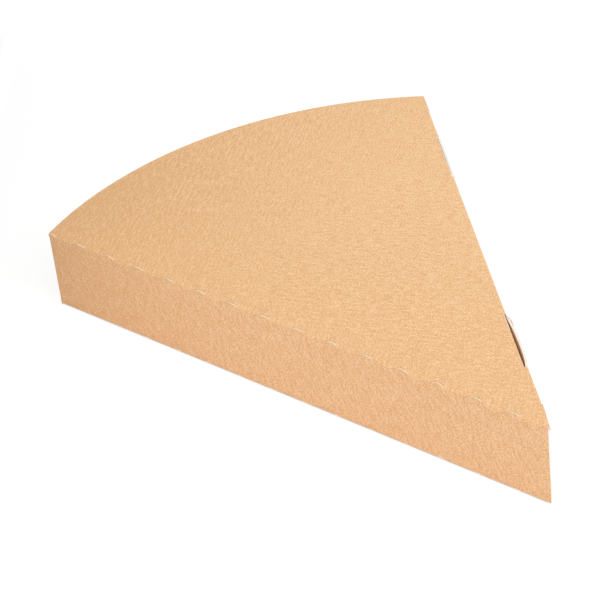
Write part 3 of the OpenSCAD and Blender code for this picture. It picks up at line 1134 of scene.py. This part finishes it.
class SLICE_OT_curl(bpy.types.Operator):
    """Adds the strip of liner that the near tab has pushed out at the end of its slot"""

    bl_idname = "slice_box.curl"
    bl_label = "Torn liner"

    def execute(self, context):
        form = Form(context.scene)
        end = form.slots[0] + form.locks.slot
        path = [(-0.0002, 0.0009, -0.0002), (-0.0012, 0.0008, 0.0001), (-0.0024, 0.0006, 0.0003),
                (-0.0034, 0.0003, 0.0004), (-0.0042, -0.0001, 0.0004), (-0.0050, -0.0005, 0.0002),
                (-0.0060, -0.0008, -0.0003), (-0.0070, -0.0010, -0.0010)]
        points, faces = [], []
        for i, (s, n, z) in enumerate(path):
            tall = 0.0011 * (1 - 0.6 * i / (len(path) - 1))
            for dn, dz in ((0, 0), (-0.00016, 0), (-0.00022, -tall), (-0.00006, -tall)):
                points.append(tuple(form.back(end + s, n + dn, form.high + z + dz)))
        for i in range(len(path) - 1):
            for k in range(4):
                a, b = 4 * i + k, 4 * i + (k + 1) % 4
                faces.append((a, b, b + 4, a + 4))
        last = 4 * (len(path) - 1)
        faces += [(3, 2, 1, 0), (last, last + 1, last + 2, last + 3)]
        mesh = bpy.data.meshes.new("lid_torn_liner")
        mesh.from_pydata(points, [], faces)
        mesh.polygons.foreach_set("use_smooth", [True] * len(faces))
        mesh.set_sharp_from_angle(angle=math.radians(50))
        mesh.materials.append(torn_paper("torn_kraft_liner", context.scene.slice_finish.liner))
        curl = in_scene("lid_torn_liner", mesh)
        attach(curl, "lid")
        return {"FINISHED"}


class SLICE_OT_stage(bpy.types.Operator):
    """Sets the camera, the pale floor and the soft studio light"""

    bl_idname = "slice_box.stage"
    bl_label = "Stage"

    def execute(self, context):
        scene, s = context.scene, context.scene.slice_studio
        lens = bpy.data.cameras.new("camera")
        lens.lens, lens.sensor_width = s.lens, 36
        lens.clip_start, lens.clip_end = 0.01, 20
        camera = in_scene("camera", lens)
        ahead = Vector(s.ahead).normalized()
        right = ahead.cross(Vector(s.above)).normalized()
        above = right.cross(ahead)
        camera.matrix_world = Matrix.Translation(s.eye) @ Matrix(
            (right, above, -ahead)).transposed().to_4x4()
        scene.camera = camera

        mesh = bpy.data.meshes.new("floor")
        far = 6.0
        mesh.from_pydata([(-far, -far, 0), (far, -far, 0), (far, far, 0), (-far, far, 0)], [],
                         [(0, 1, 2, 3)])
        floor = in_scene("floor", mesh)
        # Matt white card, lit to plain white for the camera, with a thin line of contact shade
        mat, tree = new_material("white_card_floor")
        path = add(tree, "ShaderNodeLightPath")
        card = add(tree, "ShaderNodeBsdfDiffuse", {"Color": (0.93, 0.93, 0.93, 1)})
        close = add(tree, "ShaderNodeAmbientOcclusion", {"Distance": 0.0006}, samples=8)
        level = remap(tree, close.outputs["AO"], 0.0, 1.0, 0.5, 1.15)
        white = add(tree, "ShaderNodeEmission", {"Color": (1, 1, 1, 1), "Strength": level})
        share = calc(tree, "MULTIPLY", path.outputs["Is Camera Ray"], 0.72)
        surface(tree, "ShaderNodeMixShader", {0: share, 1: card.outputs[0], 2: white.outputs[0]})
        mesh.materials.append(mat)

        world = bpy.data.worlds.new("studio")
        scene.world = world
        world.use_nodes = True
        tree = world.node_tree
        tree.nodes.clear()
        path = add(tree, "ShaderNodeLightPath")
        seen = calc(tree, "MAXIMUM", path.outputs["Is Camera Ray"], path.outputs["Is Glossy Ray"])
        sky = add(tree, "ShaderNodeBackground",
                  {"Color": (1, 1, 1, 1), "Strength": remap(tree, seen, 0.0, 1.0, s.sky, 1.0)})
        add(tree, "ShaderNodeOutputWorld", {0: sky.outputs[0]})

        for name, place, size, power, colour in (
                ("key_light", (1.05, -0.45, 1.35), 1.2, s.key, (1.0, 0.99, 0.97)),
                ("front_light", (-0.30, -0.60, 0.22), 0.3, s.key * 0.013, (1.0, 0.98, 0.99))):
            lamp = bpy.data.lights.new(name, "AREA")
            lamp.energy, lamp.size, lamp.color = power, size, colour
            light = in_scene(name, lamp)
            way = (Vector((0, 0, 0.02)) - Vector(place)).to_track_quat("-Z", "Y")
            light.matrix_world = Matrix.Translation(place) @ way.to_matrix().to_4x4()
        # A low black card beyond the crust corner, out of the picture, lets that end go darker
        mesh = bpy.data.meshes.new("black_flag")
        mesh.from_pydata([(0, -0.02, 0.004), (0, 0.25, 0.004), (0, 0.25, 0.12),
                          (0, -0.02, 0.12)], [],
                         [(0, 1, 2, 3)])
        flag = in_scene("black_flag", mesh)
        flag.matrix_world = Matrix.Translation((-0.160, -0.116, 0)) @ Matrix.Rotation(
            math.radians(37.5), 4, "Z")
        flag.visible_camera = False
        mat, tree = new_material("black_flock")
        # Flocked card: a deep matt pile that gives almost no light back
        surface(tree, "ShaderNodeBsdfDiffuse", {"Color": (0.02, 0.02, 0.02, 1)})
        mesh.materials.append(mat)
        scene.view_settings.view_transform = "Standard"
        return {"FINISHED"}


class SLICE_PT_panel(bpy.types.Panel):
    """Lists the sizes and the pieces of the slice box"""

    bl_idname = "SLICE_PT_panel"
    bl_label = "Slice Box"
    bl_space_type = "VIEW_3D"
    bl_region_type = "UI"
    bl_category = "Slice Box"

    def draw(self, context):
        for name in GROUPS:
            box = self.layout.box()
            group = getattr(context.scene, name)
            for key in group.__annotations__:
                box.prop(group, key)
        for op in PIECES:
            self.layout.operator(op.bl_idname)


PIECES = (SLICE_OT_stage, SLICE_OT_tray, SLICE_OT_lid, SLICE_OT_fibres, SLICE_OT_curl)


def register():
    for cls in (*GROUPS.values(), *PIECES, SLICE_PT_panel):
        bpy.utils.register_class(cls)
    for name, group in GROUPS.items():
        setattr(bpy.types.Scene, name, PointerProperty(type=group))


def unregister():
    for name in GROUPS:
        delattr(bpy.types.Scene, name)
    for cls in reversed((*GROUPS.values(), *PIECES, SLICE_PT_panel)):
        bpy.utils.unregister_class(cls)


def main():
    register()
    bpy.ops.slice_box.stage()
    bpy.ops.slice_box.tray()
    bpy.ops.slice_box.lid()
    bpy.ops.slice_box.fibres()
    bpy.ops.slice_box.curl()
    bpy.context.view_layer.update()


if __name__ == "__main__":
    main()
